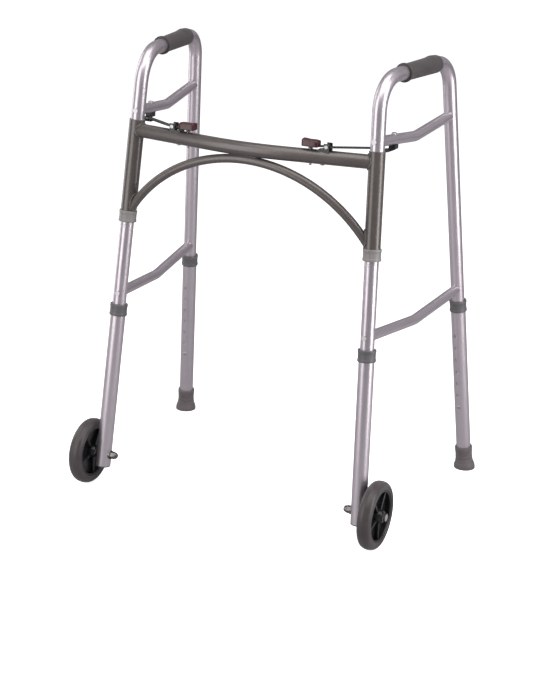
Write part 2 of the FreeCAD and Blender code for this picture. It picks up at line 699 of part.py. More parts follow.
def bracket_fasteners():
    """Rivet that holds a bracket down, and the pivot pin in its ears."""
    top = BAR_TOP_Z + BRACKET_BASE
    under = CROSS_BAR_Z - FRAME_R
    x = BRACKET_RIVET_X
    y = PIVOT.y
    head_top = top + BRACKET_RIVET_HEAD
    shank = rod(V(x, y, under - RIVET_HEAD), V(x, y, head_top), RIVET_R)
    head = rod(V(x, y, top), V(x, y, head_top), BRACKET_RIVET_HEAD_R)
    tail = rod(V(x, y, under - RIVET_HEAD), V(x, y, under + WELD_SINK), BRACKET_RIVET_HEAD_R)
    tail = tail.cut(CROSS_BAR_OUTER)
    rivet = shank.fuse(head).fuse(tail)
    reach = EAR_INNER + BRACKET_EAR
    pin = rod(PIVOT - Y_AXIS * reach, PIVOT + Y_AXIS * reach, PIVOT_PIN_R)
    for side in (-1, 1):
        seat = PIVOT + Y_AXIS * (side * reach)
        pin = pin.fuse(rod(seat, seat + Y_AXIS * (side * PIN_HEAD), PIVOT_PIN_R + PIN_HEAD))
    return [rivet, pin]


TIP_REACH = 28.0                        # bar tip behind the front leg axis
TIP_SHORT = V(-(BRACE_R + 2.5), -5.0, 0)        # the bar ends short of the brace
BAR_TIP = in_side_plane(TIP_REACH, BAR_BOTTOM_Z) + TIP_SHORT
KNUCKLE_SHORT = 0.2
BAR_RUN_IN = 8.0                        # straight part each side of the pivot
BAR_RUN_OUT = 9.0
TOOTH = ((-5.0, -4.0), (-2.0, 3.0))     # corners of the tooth from the bar's tip
TOOTH_ROOT = 0.5


def strip(points, half_width, bottom, thickness):
    """Flat strip of even width along a few plan points."""
    left = []
    right = []
    for index, (x, y) in enumerate(points):
        before = points[max(index - 1, 0)]
        after = points[min(index + 1, len(points) - 1)]
        heading = V(after[0] - before[0], after[1] - before[1], 0).normalize()
        left.append((x - heading.y * half_width, y + heading.x * half_width))
        right.append((x + heading.y * half_width, y - heading.x * half_width))
    return plate(left + right[::-1], bottom, thickness)


def latch_bar():
    """Flat steel bar on a pivot: the paddle end inboard, a hooked tooth outboard."""
    route = [(PADDLE_X[0] + BAR_HALF_WIDTH, PADDLE_Y), (PADDLE_X[1], PADDLE_Y),
             (PIVOT.x - BAR_RUN_IN, PIVOT.y), (PIVOT.x + BAR_RUN_OUT, PIVOT.y),
             (BAR_TIP.x, BAR_TIP.y)]
    bar = strip(route, BAR_HALF_WIDTH, BAR_BOTTOM_Z, BAR_THICKNESS)
    knuckle_half = Y_AXIS * (BAR_HALF_WIDTH - KNUCKLE_SHORT)
    knuckle = rod(PIVOT - knuckle_half, PIVOT + knuckle_half, KNUCKLE_R)
    low, high = TOOTH
    tooth_bottom = CATCH_PLATE_Z + CATCH_PLATE_THICKNESS + TOOTH_GAP
    tooth = box((BAR_TIP.x + low[0], BAR_TIP.y + low[1], tooth_bottom),
                (BAR_TIP.x + high[0], BAR_TIP.y + high[1], BAR_BOTTOM_Z + TOOTH_ROOT))
    bore_half = Y_AXIS * REACH_PAST
    bore = rod(PIVOT - bore_half, PIVOT + bore_half, PIVOT_PIN_R + RUNNING_GAP)
    stem = rod(V(STEM_X, PADDLE_Y, BAR_TOP_Z), V(STEM_X, PADDLE_Y, PADDLE_TOP_Z), STEM_R)
    return bar.fuse(knuckle).fuse(tooth).cut(bore).cut(stem).removeSplitter()


PADDLE_HALF = 9.0
PADDLE_SKIN = 2.2
STEM_TOP_Z = 713.0
PADDLE_UNDER_BAR = 1.1
PADDLE_CORNER_R = 5.0
PADDLE_SLOPE = (17.0, 6.0)              # length and drop of the sloped outer end
PADDLE_WALL = 3.0
UPRIGHT = 0.9                           # an edge this close to Z is upright


def release_paddle():
    """Finger paddle moulded over the inboard end of the latch bar."""
    low_x, high_x = PADDLE_X
    bottom = BAR_BOTTOM_Z - PADDLE_UNDER_BAR
    body = box((low_x, PADDLE_Y - PADDLE_HALF, bottom),
               (high_x, PADDLE_Y + PADDLE_HALF, PADDLE_TOP_Z))
    upright = [edge for edge in body.Edges if abs(edge.tangentAt(0).z) > UPRIGHT]
    body = body.makeFillet(PADDLE_CORNER_R, upright)
    past = high_x + WELD_SINK
    slope_length, slope_drop = PADDLE_SLOPE
    front = PADDLE_Y - REACH_PAST
    over = V(past, front, PADDLE_TOP_Z + WELD_SINK)
    slope = Part.Face(Part.makePolygon([
        over,
        V(past - slope_length, front, PADDLE_TOP_Z),
        V(past, front, PADDLE_TOP_Z - slope_drop),
        over])).extrude(Y_AXIS * (2 * REACH_PAST))
    body = body.cut(slope)
    half = PADDLE_HALF - PADDLE_SKIN
    pocket = box((low_x + PADDLE_WALL, PADDLE_Y - half, bottom - WELD_SINK),
                 (past, PADDLE_Y + half, BAR_BOTTOM_Z + BAR_THICKNESS))
    stem = rod(V(STEM_X, PADDLE_Y, bottom - WELD_SINK), V(STEM_X, PADDLE_Y, STEM_TOP_Z), STEM_R)
    return body.cut(pocket).cut(stem)


def paddle_stem():
    """Guide pin of the paddle, down through the cross bar."""
    low = CROSS_BAR_Z - FRAME_R - STEM_BELOW_BAR
    return turned([(0, low), (STEM_R - STEM_EDGE, low), (STEM_R, low + STEM_EDGE),
                   (STEM_R, STEM_TOP_Z), (0, STEM_TOP_Z)], V(STEM_X, PADDLE_Y, 0))


SPRING_WIRE_R = 0.45
SPRING_END_GAP = 0.15
SPRING_TURNS = 2.5
SPRING_R = STEM_R + 1.6


def paddle_spring():
    """Short coil spring around the stem, between the cross bar and the latch bar."""
    base = BAR_TOP_Z + SPRING_WIRE_R + SPRING_END_GAP
    rise = BAR_BOTTOM_Z - base - SPRING_WIRE_R - SPRING_END_GAP
    helix = Part.makeHelix(rise / SPRING_TURNS, rise, SPRING_R)
    start = helix.Edges[0]
    section = Part.Wire(Part.makeCircle(SPRING_WIRE_R, start.valueAt(start.FirstParameter),
                                        start.tangentAt(start.FirstParameter)))
    coil = Part.Wire(helix.Edges).makePipeShell([section], True, True)
    coil.translate(V(STEM_X, PADDLE_Y, base))
    return coil


def catch_bolt_top():
    """Point on the upper brace's axis where the catch bolt crosses it."""
    front, bend = brace_corners(UPPER_BRACE_Z)[:2]
    run = bend.sub(front)
    return front + run * (CATCH_BOLT_REACH / REARWARD.dot(run))


CATCH_BOLT_HEAD = [(5.0, -1.5), (5.0, 1.2), (3.6, 2.8), (0, 3.2)]     # above the brace's top


def catch_bolt(extra=0.0):
    """Round-headed bolt down through the brace into the catch."""
    centre = catch_bolt_top()
    shank = rod(V(centre.x, centre.y, CATCH_PLATE_Z + WELD_SINK),
                V(centre.x, centre.y, centre.z + BRACE_R), RIVET_R + extra)
    if extra:
        return shank
    outline = [(radius, BRACE_R + height) for radius, height in CATCH_BOLT_HEAD]
    head = turned([(0, outline[0][1])] + outline, centre)
    return head.cut(brace_outer(UPPER_BRACE_Z)).fuse(shank)


CATCH_HALF_X = 6.0
CATCH_HALF_Y = 8.0
SHELF_EDGE = 7.0                        # shelf's end beside the block
SHELF_SIDE = 6.0                        # shelf beside the slot, each way along Y
SHELF_INBOARD = 10.0                    # shelf past the bar's tip, inboard
SHELF_OUTBOARD = 3.0
SHELF_CORNER = 2.0
SHELF_SHOULDER = 12.0
SLOT_PLAY = 0.6                         # slot around the tooth


def latch_catch():
    """Black catch under the upper brace: a saddle block and a slotted plate."""
    centre = catch_bolt_top()
    block = box((centre.x - CATCH_HALF_X, centre.y - CATCH_HALF_Y, CATCH_PLATE_Z),
                (centre.x + CATCH_HALF_X, centre.y + CATCH_HALF_Y, centre.z))
    block = block.cut(brace_outer(UPPER_BRACE_Z))
    block = max(block.Solids, key=lambda solid: solid.Volume)
    outline = [(centre.x + CATCH_HALF_X, centre.y - SHELF_EDGE),
               (centre.x - CATCH_HALF_X, centre.y - SHELF_EDGE),
               (BAR_TIP.x - SHELF_INBOARD, BAR_TIP.y + SHELF_SIDE),
               (BAR_TIP.x - SHELF_INBOARD, BAR_TIP.y - SHELF_SIDE),
               (BAR_TIP.x + SHELF_OUTBOARD, BAR_TIP.y - SHELF_SIDE),
               (centre.x + SHELF_OUTBOARD, BAR_TIP.y + SHELF_CORNER),
               (centre.x + CATCH_HALF_X, centre.y - SHELF_SHOULDER)]
    shelf = plate(outline, CATCH_PLATE_Z, CATCH_PLATE_THICKNESS)
    low, high = TOOTH
    slot = box((BAR_TIP.x + low[0] - SLOT_PLAY, BAR_TIP.y + low[1] - SLOT_PLAY, BAR_TOP_Z),
               (BAR_TIP.x + high[0] + SLOT_PLAY, BAR_TIP.y + high[1] + SLOT_PLAY, BAR_BOTTOM_Z))
    return block.fuse(shelf).cut(slot).cut(catch_bolt(PRESS_FIT)).removeSplitter()


# ---- The whole walker ---------------------------------------------------------------------
def build():
    """All nodes by name; each part made once is mirrored for the right side."""
    upper_brace = brace(UPPER_BRACE_Z).cut(catch_bolt(PRESS_FIT))
    springs = group([snap_spring(SIDE, SNAP_ALONG_FRONT, 1),
                     snap_spring(REAR, SNAP_ALONG_REAR, -1)])
    left = {
        "hinge_sleeve": hinge_sleeve(),
        "sleeve_collar": sleeve_collar(),
        "latch_bracket": latch_bracket(),
        "paddle_spring": paddle_spring(),
        "latch_bar": latch_bar(),
        "release_paddle": release_paddle(),
        "paddle_stem": paddle_stem(),
        "side_tube": side_tube(),
        "upper_brace": upper_brace,
        "lower_brace": brace(LOWER_BRACE_Z),
        "side_rivets": side_rivets(),
        "hand_grip": hand_grip(),
        "latch_catch": latch_catch(),
        "catch_bolt": catch_bolt(),
        "snap_springs": springs,
        "snap_button_front": snap_button(SIDE, SNAP_ALONG_FRONT, 1),
        "snap_button_rear": snap_button(REAR, SNAP_ALONG_REAR, -1),
        "front_lower_leg": front_lower_leg(),
        "rear_lower_leg": lower_leg(REAR, REAR_RISE, REAR_LEG_END_Z, -1),
        "front_leg_collar": leg_collar(SIDE, FRONT_RISE),
        "rear_leg_collar": leg_collar(REAR, REAR_RISE),
        "rubber_tip": rubber_tip(),
        "leg_end_plug": leg_end_plug(),
        "axle_bolt": axle_bolt(),
        "axle_nut_set": axle_nut_set(),
        "wheel_tyre": wheel_tyre(),
        "wheel_hub": wheel_hub(),
        "wheel_bush": wheel_bush(),
    }
    fasteners = bracket_fasteners()
    top_bush = sleeve_top_bush()
    nodes = {
        "cross_bar": cross_bar(),
        "arch_brace": arch_brace(),
        "sleeve_top_bushes": group([top_bush, mirrored(top_bush)]),
        "latch_bracket_rivets": group(fasteners + [mirrored(part) for part in fasteners]),
    }
    for name, shape in left.items():
        nodes[name + "_left"] = shape
        nodes[name + "_right"] = mirrored(shape)
    return nodes


os.makedirs("parts", exist_ok=True)
for node, shape in build().items():
    if not shape.isValid():
        print("invalid shape:", node)
    shape.exportStep("parts/" + node + ".step")
    print(node, len(shape.Solids), round(shape.Volume, 1))


def report_axis(name, point, direction):
    """Print a joint axis for the record."""
    print(name, [round(c, 4) for c in point], [round(c, 6) for c in direction])


report_axis("fold", FRONT_FOOT, LEG_AXIS)
report_axis("rear leg", REAR_FOOT, REAR_AXIS)
report_axis("rearward", FRONT_FOOT, REARWARD)
report_axis("rear leg button", REAR_FOOT, REAR_AXIS.cross(OUTBOARD))
report_axis("axle", AXLE, X_AXIS)
report_axis("latch pivot", PIVOT, Y_AXIS)
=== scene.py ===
import json
import math

import bmesh
import bpy
from mathutils import Matrix, Vector


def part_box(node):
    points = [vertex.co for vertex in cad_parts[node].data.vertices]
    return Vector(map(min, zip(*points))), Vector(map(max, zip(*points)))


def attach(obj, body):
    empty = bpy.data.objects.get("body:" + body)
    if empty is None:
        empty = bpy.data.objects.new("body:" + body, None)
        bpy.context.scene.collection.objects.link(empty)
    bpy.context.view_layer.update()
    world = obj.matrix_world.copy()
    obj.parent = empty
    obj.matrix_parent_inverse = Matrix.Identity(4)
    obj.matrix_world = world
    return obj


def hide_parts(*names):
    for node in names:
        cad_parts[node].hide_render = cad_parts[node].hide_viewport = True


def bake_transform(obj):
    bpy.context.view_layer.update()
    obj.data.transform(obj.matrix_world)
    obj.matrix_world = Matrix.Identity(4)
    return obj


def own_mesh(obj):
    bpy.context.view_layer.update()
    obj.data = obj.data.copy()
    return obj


# Folding front-wheeled walker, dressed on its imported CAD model. Metres, +Z up, wheels
# towards -Y, +X is the user's left. Pieces are made for the left side and mirrored.

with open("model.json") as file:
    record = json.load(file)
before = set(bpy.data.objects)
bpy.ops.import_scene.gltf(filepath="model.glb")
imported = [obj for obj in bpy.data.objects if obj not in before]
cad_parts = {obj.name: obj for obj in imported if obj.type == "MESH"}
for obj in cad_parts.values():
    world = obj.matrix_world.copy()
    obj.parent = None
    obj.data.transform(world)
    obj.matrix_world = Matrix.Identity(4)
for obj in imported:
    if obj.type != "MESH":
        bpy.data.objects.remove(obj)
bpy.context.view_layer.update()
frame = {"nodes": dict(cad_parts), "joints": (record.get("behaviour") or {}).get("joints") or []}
NODES = frame["nodes"]
JOINTS = {joint["name"]: joint for joint in frame["joints"]}
MM = 0.001


# ---- Places taken from the frame ----------------------------------------------------------
FRONT_FOOT = Vector(JOINTS["fold_left"]["pos_m"])
FRONT_AXIS = Vector(JOINTS["fold_left"]["axis"]).normalized()
REAR_AXIS = -Vector(JOINTS["height_rear_left"]["axis"]).normalized()
REARWARD = -Vector(JOINTS["button_front_left"]["axis"]).normalized()
OUTBOARD = REARWARD.cross(FRONT_AXIS).normalized()
HANDLE_AXIS = Vector((0, 0, 1)).cross(OUTBOARD).normalized()


def centre(node):
    """Middle of a CAD node's box."""
    low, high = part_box(node)
    return (low + high) / 2


def front_axis_at(height):
    """Point of the left front leg's axis at a height."""
    return FRONT_FOOT + FRONT_AXIS * ((height - FRONT_FOOT.z) / FRONT_AXIS.z)


REAR_ORIGIN = centre("rear_leg_collar_left")
REAR_FOOT = REAR_ORIGIN - REAR_AXIS * (REAR_ORIGIN.z / REAR_AXIS.z)


def rear_axis_at(height):
    """Point of the left rear leg's axis at a height."""
    return REAR_FOOT + REAR_AXIS * (height / REAR_AXIS.z)


# ---- Mesh helpers -------------------------------------------------------------------------
BEAD_TWIST = Vector((0.3, 0.9, 0.3))    # a bead's cross-sections are set square to this
BEAD_END = 0.25                 # share of the radius at a bead's open end
BEAD_GROWTH = 6.0               # how fast an open end reaches the full radius


def add_object(name, mesh):
    """Object in the scene for a mesh."""
    made = bpy.data.objects.new(name, mesh)
    bpy.context.scene.collection.objects.link(made)
    return made


def new_object(name, vertices, faces, sharp=40.0):
    """Mesh object with consistent normals, smooth except across sharp edges."""
    mesh = bpy.data.meshes.new(name)
    mesh.from_pydata([tuple(v) for v in vertices], [], faces)
    work = bmesh.new()
    work.from_mesh(mesh)
    bmesh.ops.remove_doubles(work, verts=work.verts, dist=1e-6)
    bmesh.ops.recalc_face_normals(work, faces=work.faces)
    work.to_mesh(mesh)
    work.free()
    smooth(mesh, sharp)
    return add_object(name, mesh)


def smooth(mesh, sharp=40.0):
    """Smooth shading that keeps edges sharper than an angle."""
    mesh.polygons.foreach_set("use_smooth", [True] * len(mesh.polygons))
    mesh.set_sharp_from_angle(angle=math.radians(sharp))
    mesh.update()


def bend(start, corner, end, steps):
    """Points of a smooth bend from start to end that is drawn towards a corner."""
    return [start * (1 - t) ** 2 + corner * (2 * t * (1 - t)) + end * t ** 2
            for t in (step / steps for step in range(steps + 1))]


def rounded(points, radius, steps=4):
    """Closed outline with its corners rounded off."""
    outline = []
    count = len(points)
    for index, corner in enumerate(points):
        corner = Vector(corner)
        before = Vector(points[index - 1]) - corner
        after = Vector(points[(index + 1) % count]) - corner
        reach = min(radius, before.length * 0.45, after.length * 0.45)
        outline += bend(corner + before.normalized() * reach, corner,
                        corner + after.normalized() * reach, steps)
    return outline


def basis(origin, axis, across):
    """Matrix with local Z along axis and local Y close to across."""
    z_dir = axis.normalized()
    x_dir = across.cross(z_dir).normalized()
    y_dir = z_dir.cross(x_dir)
    matrix = Matrix((x_dir, y_dir, z_dir)).transposed().to_4x4()
    matrix.translation = origin
    return matrix


def lathe(name, outline, origin, axis, segments=80, across=None, shape=None):
    """Solid of revolution of a closed (radius, height) outline, in millimetres.

    shape(angle, radius, height) may return a changed radius."""
    matrix = basis(origin, axis, across or REARWARD)
    vertices = []
    for index in range(segments):
        angle = 2 * math.pi * index / segments
        for radius, height in outline:
            if shape:
                radius = shape(angle, radius, height)
            local = Vector((radius * math.cos(angle), radius * math.sin(angle), height)) * MM
            vertices.append(matrix @ local)
    count = len(outline)
    faces = []
    for index in range(segments):
        following = (index + 1) % segments
        for point in range(count):
            ahead = (point + 1) % count
            faces.append((index * count + point, following * count + point,
                          following * count + ahead, index * count + ahead))
    piece = new_object(name, vertices, faces)
    drop_slivers(piece)
    return piece


def drop_slivers(piece):
    """Remove the zero-area faces that a profile touching its axis leaves."""
    work = bmesh.new()
    work.from_mesh(piece.data)
    bmesh.ops.dissolve_degenerate(work, edges=work.edges, dist=1e-7)
    work.to_mesh(piece.data)
    work.free()
    smooth(piece.data)


def block(name, low, high, bevel, matrix):
    """Box with rounded edges, in millimetres about a local frame."""
    work = bmesh.new()
    bmesh.ops.create_cube(work, size=1.0)
    low, high = Vector(low) * MM, Vector(high) * MM
    for vertex in work.verts:
        for axis in range(3):
            span = high[axis] - low[axis]
            vertex.co[axis] = low[axis] + (vertex.co[axis] + 0.5) * span
    bmesh.ops.bevel(work, geom=work.edges, offset=bevel * MM, segments=3, profile=0.5,
                    affect="EDGES")
    bmesh.ops.transform(work, matrix=matrix, verts=work.verts)
    mesh = bpy.data.meshes.new(name)
    work.to_mesh(mesh)
    work.free()
    smooth(mesh)
    return add_object(name, mesh)


def bead(name, points, radius, closed=True, ripple=0.0, ripples=24, sides=10):
    """Round bead along a path; ripple makes the scales of a weld."""
    count = len(points)
    vertices = []
    for index, point in enumerate(points):
        before = points[(index - 1) % count] if closed else points[max(index - 1, 0)]
        after = points[(index + 1) % count] if closed else points[min(index + 1, count - 1)]
        heading = (after - before).normalized()
        side = heading.cross(BEAD_TWIST).normalized()
        up = heading.cross(side)
        phase = (index / count * ripples) % 1.0
        size = radius * (1 + ripple * (phase - 0.5))
        if not closed:
            size *= min(1.0, BEAD_END + BEAD_GROWTH * min(index, count - 1 - index) / count)
        for corner in range(sides):
            angle = 2 * math.pi * corner / sides
            vertices.append(point + (side * math.cos(angle) + up * math.sin(angle)) * size)
    faces = []
    for index in range(count if closed else count - 1):
        following = (index + 1) % count
        for corner in range(sides):
            ahead = (corner + 1) % sides
            faces.append((index * sides + corner, index * sides + ahead,
                          following * sides + ahead, following * sides + corner))
    if not closed:
        faces.append(tuple(range(sides)))
        faces.append(tuple((count - 1) * sides + corner for corner in range(sides)))
    return new_object(name, vertices, faces, sharp=60.0)


def join(name, pieces):
    """One object from several."""
    work = bmesh.new()
    for piece in pieces:
        work.from_mesh(piece.data)
        bpy.data.objects.remove(piece)
    mesh = bpy.data.meshes.new(name)
    work.to_mesh(mesh)
    work.free()
    smooth(mesh)
    return add_object(name, mesh)


def mirrored(piece, name):
    """Copy of a left piece for the right side."""
    mesh = piece.data.copy()
    mesh.transform(Matrix.Scale(-1, 4, Vector((1, 0, 0))))
    mesh.flip_normals()
    smooth(mesh)
    return add_object(name, mesh)


def place_pair(name, piece, body, material, node=None):
    """Name, dress and attach a left piece and its mirror; node is the CAD node it replaces."""
    piece.name = name + "_left"
    pair = {"left": piece, "right": mirrored(piece, name + "_right")}
    for side, item in pair.items():
        item.data.materials.clear()
        item.data.materials.append(material)
        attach(item, body.format(side=side))
        if node:
            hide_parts(node + "_" + side)
    return pair


# ---- Materials ----------------------------------------------------------------------------
NOISE_SPREAD = (0.25, 0.75)     # most values of a noise lie between these
SMOOTHEST = 0.02


class Surface:
    """A Principled material built up from procedural layers in object coordinates."""

    def __init__(self, name, color, roughness, metallic=0.0, coat=0.0, coat_roughness=0.1,
                 specular=0.5, sheen=0.0):
        self.material = bpy.data.materials.new(name)
        self.material.use_nodes = True
        self.tree = self.material.node_tree
        self.shader = self.tree.nodes["Principled BSDF"]
        self.color = color
        self.roughness = roughness
        settings = {"Base Color": (*color, 1.0), "Roughness": roughness, "Metallic": metallic,
                    "Coat Weight": coat, "Coat Roughness": coat_roughness,
                    "Specular IOR Level": specular, "Sheen Weight": sheen}
        for socket, value in settings.items():
            self.shader.inputs[socket].default_value = value
        self.coords = self.node("ShaderNodeTexCoord").outputs["Object"]
        self.bump_out = None

    def node(self, kind, **inputs):
        """New node with inputs set by name or linked from another socket."""
        made = self.tree.nodes.new(kind)
        for key, value in inputs.items():
            self.feed(made.inputs[key.replace("_", " ")], value)
        return made

    def feed(self, socket, value):
        """Link a socket, or set its value."""
        if isinstance(value, bpy.types.NodeSocket):
            self.tree.links.new(value, socket)
        else:
            socket.default_value = value

    def mirror_coords(self):
        """Coordinates folded over X = 0, so that both sides share one grain direction."""
        parts = self.node("ShaderNodeSeparateXYZ", Vector=self.coords)
        fold = self.node("ShaderNodeMath")
        fold.operation = "ABSOLUTE"
        self.feed(fold.inputs[0], parts.outputs["X"])
        made = self.node("ShaderNodeCombineXYZ", X=fold.outputs[0], Y=parts.outputs["Y"],
                         Z=parts.outputs["Z"])
        return made.outputs[0]

    def noise(self, scale, detail=3.0, rough=0.5, coords=None):
        """Noise factor."""
        made = self.node("ShaderNodeTexNoise", Vector=coords or self.coords, Scale=scale,
                         Detail=detail, Roughness=rough)
        return made.outputs["Fac"]

    def along(self, direction, stretch, coords):
        """Coordinates squeezed along a direction, which draws a grain out along it."""
        turn = direction.to_track_quat("Z", "Y").inverted().to_euler()
        turned = self.node("ShaderNodeMapping", Vector=coords, Rotation=tuple(turn))
        made = self.node("ShaderNodeMapping", Vector=turned.outputs[0],
                         Scale=(1.0, 1.0, 1.0 / stretch))
        return made.outputs[0]

    def ramp(self, factor, low, high, out_low=0.0, out_high=1.0):
        """Clamped remap of a factor."""
        made = self.node("ShaderNodeMapRange", Value=factor)
        for socket, value in zip(("From Min", "From Max", "To Min", "To Max"),
                                 (low, high, out_low, out_high)):
            made.inputs[socket].default_value = value
        return made.outputs[0]

    def blend(self, factor, first, second):
        """Mix of two colours or two factors."""
        made = self.node("ShaderNodeMix")
        made.data_type = "RGBA"
        self.feed(made.inputs[0], factor)
        for socket, value in ((made.inputs[6], first), (made.inputs[7], second)):
            if isinstance(value, tuple):
                value = (*value, 1.0)
            self.feed(socket, value)
        return made.outputs[2]

    def tint(self, factor, shade):
        """Blend the base colour towards a second one by a factor."""
        socket = self.shader.inputs["Base Color"]
        below = socket.links[0].from_socket if socket.links else self.color
        self.feed(socket, self.blend(factor, below, shade))

    def vary_roughness(self, factor, amount):
        """Roughness swinging around its middle value."""
        low = max(self.roughness - amount, SMOOTHEST)
        self.feed(self.shader.inputs["Roughness"],
                  self.ramp(factor, *NOISE_SPREAD, low, self.roughness + amount))

    def bump(self, factor, height, strength=1.0):
        """Add a bump layer; height in metres."""
        made = self.node("ShaderNodeBump", Height=factor, Strength=strength, Distance=height)
        if self.bump_out:
            self.feed(made.inputs["Normal"], self.bump_out)
        self.bump_out = made.outputs[0]
        self.feed(self.shader.inputs["Normal"], self.bump_out)


SILVER = (0.62, 0.565, 0.605)
SILVER_WARM = (0.57, 0.515, 0.555)
SILVER_GRAIN = (0.47, 0.43, 0.46)
GRAIN_STRETCH = 60.0            # length of a drawn mark over its width
SCUFF_STRETCH = 30.0
SCUFF_WAY = Vector((0.6, 0.5, 0.6))
FRONT_TO_REAR = (-0.02, 0.02)   # Y over which the front leg's grain gives way to the rear leg's
HAND_HEIGHT = (0.79, 0.81)      # Z over which both give way to the handle's


def anodised(name, directions):
    """Satin anodised aluminium with a drawn grain along the given directions.

    The first direction is used in front, the second behind and the third at hand height."""
    surface = Surface(name, SILVER, 0.36, metallic=0.9, specular=0.5)
    coords = surface.mirror_coords()
    grains = [surface.noise(1500.0, 2.0, 0.6, surface.along(way, GRAIN_STRETCH, coords))
              for way in directions]
    grain = grains[0]
    if len(grains) == 3:
        place = surface.node("ShaderNodeSeparateXYZ", Vector=coords)
        behind = surface.ramp(place.outputs["Y"], *FRONT_TO_REAR)
        above = surface.ramp(place.outputs["Z"], *HAND_HEIGHT)
        grain = surface.blend(above, surface.blend(behind, grains[0], grains[1]), grains[2])
    cloud = surface.noise(22.0, 4.0, 0.55, coords)
    surface.tint(surface.ramp(cloud, 0.35, 0.7, 0.0, 0.55), SILVER_WARM)
    surface.tint(surface.ramp(grain, 0.45, 0.75, 0.0, 0.22), SILVER_GRAIN)
    surface.vary_roughness(grain, 0.09)
    surface.bump(grain, 0.00002, 0.35)
    scuff = surface.noise(420.0, 1.0, 0.5, surface.along(SCUFF_WAY, SCUFF_STRETCH, coords))
    surface.bump(surface.ramp(scuff, 0.72, 0.8), 0.00003, 0.25)
    return surface.material


def scaled(color, factor):
    """Colour scaled by a factor, no channel past 1."""
    return tuple(min(1, channel * factor) for channel in color)


def powder_coat(name, color, light, roughness=0.33):
    """Semi-gloss powder coat: orange peel, fine metallic fleck, faint clouding."""
    surface = Surface(name, color, roughness, metallic=0.35, coat=0.35, coat_roughness=0.18)
    fleck = surface.noise(2600.0, 1.0, 0.5)
    cloud = surface.noise(30.0, 4.0, 0.6)
    surface.tint(surface.ramp(cloud, 0.3, 0.75, 0.0, 0.5), light)
    surface.tint(surface.ramp(fleck, 0.62, 0.72, 0.0, 0.6), scaled(light, 2.2))
    surface.vary_roughness(cloud, 0.05)
    surface.bump(surface.noise(520.0, 2.0, 0.5), 0.00006, 0.35)
    return surface.material


def moulded(name, color, light, roughness, coat=0.0):
    """Moulded plastic with a fine spark-eroded texture and slight flow clouding."""
    surface = Surface(name, color, roughness, coat=coat, coat_roughness=0.12)
    cloud = surface.noise(55.0, 3.0, 0.6)
    surface.tint(surface.ramp(cloud, 0.3, 0.75, 0.0, 0.7), light)
    fine = surface.noise(1800.0, 2.0, 0.6)
    surface.vary_roughness(fine, 0.06)
    surface.bump(fine, 0.00004, 0.5)
    return surface.material


def rubber(name, color, light, roughness, grain=1300.0):
    """Rubber with a dusty bloom and a fine skin."""
    surface = Surface(name, color, roughness, specular=0.4, sheen=0.15)
    cloud = surface.noise(38.0, 5.0, 0.65)
    surface.tint(surface.ramp(cloud, 0.35, 0.75, 0.0, 0.8), light)
    dust = surface.noise(700.0, 2.0, 0.6)
    surface.tint(surface.ramp(dust, 0.66, 0.8, 0.0, 0.35), scaled(light, 1.7))
    fine = surface.noise(grain, 3.0, 0.6)
    surface.vary_roughness(cloud, 0.08)
    surface.bump(fine, 0.00008, 0.5)
    return surface.material


def plated(name, color, roughness):
    """Zinc-plated steel with fine turned marks and a slight patchy tone."""
    surface = Surface(name, color, roughness, metallic=1.0)
    patch = surface.noise(160.0, 3.0, 0.6)
    surface.tint(surface.ramp(patch, 0.35, 0.7, 0.0, 0.6), scaled(color, 0.78))
    surface.vary_roughness(surface.noise(900.0, 2.0, 0.5), 0.08)
    surface.bump(surface.noise(1400.0, 2.0, 0.5), 0.00002, 0.3)
    return surface.material


SILVER_TUBE = anodised("anodised_tube", (FRONT_AXIS, REAR_AXIS, HANDLE_AXIS))
SILVER_BRACE = anodised("anodised_brace", (REARWARD,))
DARK_FRAME = powder_coat("bronze_powder_coat", (0.098, 0.083, 0.078), (0.135, 0.117, 0.110))
WELD = powder_coat("painted_weld", (0.095, 0.084, 0.077), (0.13, 0.118, 0.108), 0.4)
COLLAR = moulded("warm_grey_collar", (0.22, 0.205, 0.20), (0.27, 0.255, 0.245), 0.42)
LEG_COLLAR = moulded("dark_grey_collar", (0.105, 0.10, 0.105), (0.14, 0.135, 0.14), 0.42)
GRIP = rubber("grip_skin", (0.042, 0.034, 0.034), (0.062, 0.051, 0.051), 0.5, 900.0)
TIP = rubber("tip_rubber", (0.108, 0.092, 0.096), (0.145, 0.126, 0.13), 0.55)
TYRE = rubber("tyre_rubber", (0.052, 0.042, 0.042), (0.076, 0.063, 0.063), 0.38)
HUB = moulded("hub_plastic", (0.007, 0.007, 0.008), (0.012, 0.012, 0.013), 0.32, coat=0.1)
PADDLE = moulded("paddle_plastic", (0.05, 0.008, 0.010), (0.075, 0.013, 0.015), 0.34, coat=0.2)
BLACK_STEEL = powder_coat("black_steel", (0.014, 0.014, 0.015), (0.022, 0.022, 0.024), 0.38)
BLACK_PLASTIC = moulded("black_plastic", (0.016, 0.016, 0.017), (0.026, 0.026, 0.028), 0.4)
ZINC = plated("zinc_plate", (0.44, 0.43, 0.43), 0.36)
BRIGHT_BOLT = plated("bright_bolt", (0.78, 0.73, 0.71), 0.3)
DARK_NUT = plated("dark_nut", (0.2, 0.185, 0.18), 0.3)
SPRING = plated("spring_steel", (0.42, 0.42, 0.43), 0.3)
NYLON = moulded("nylon", (0.72, 0.70, 0.64), (0.80, 0.78, 0.72), 0.45)

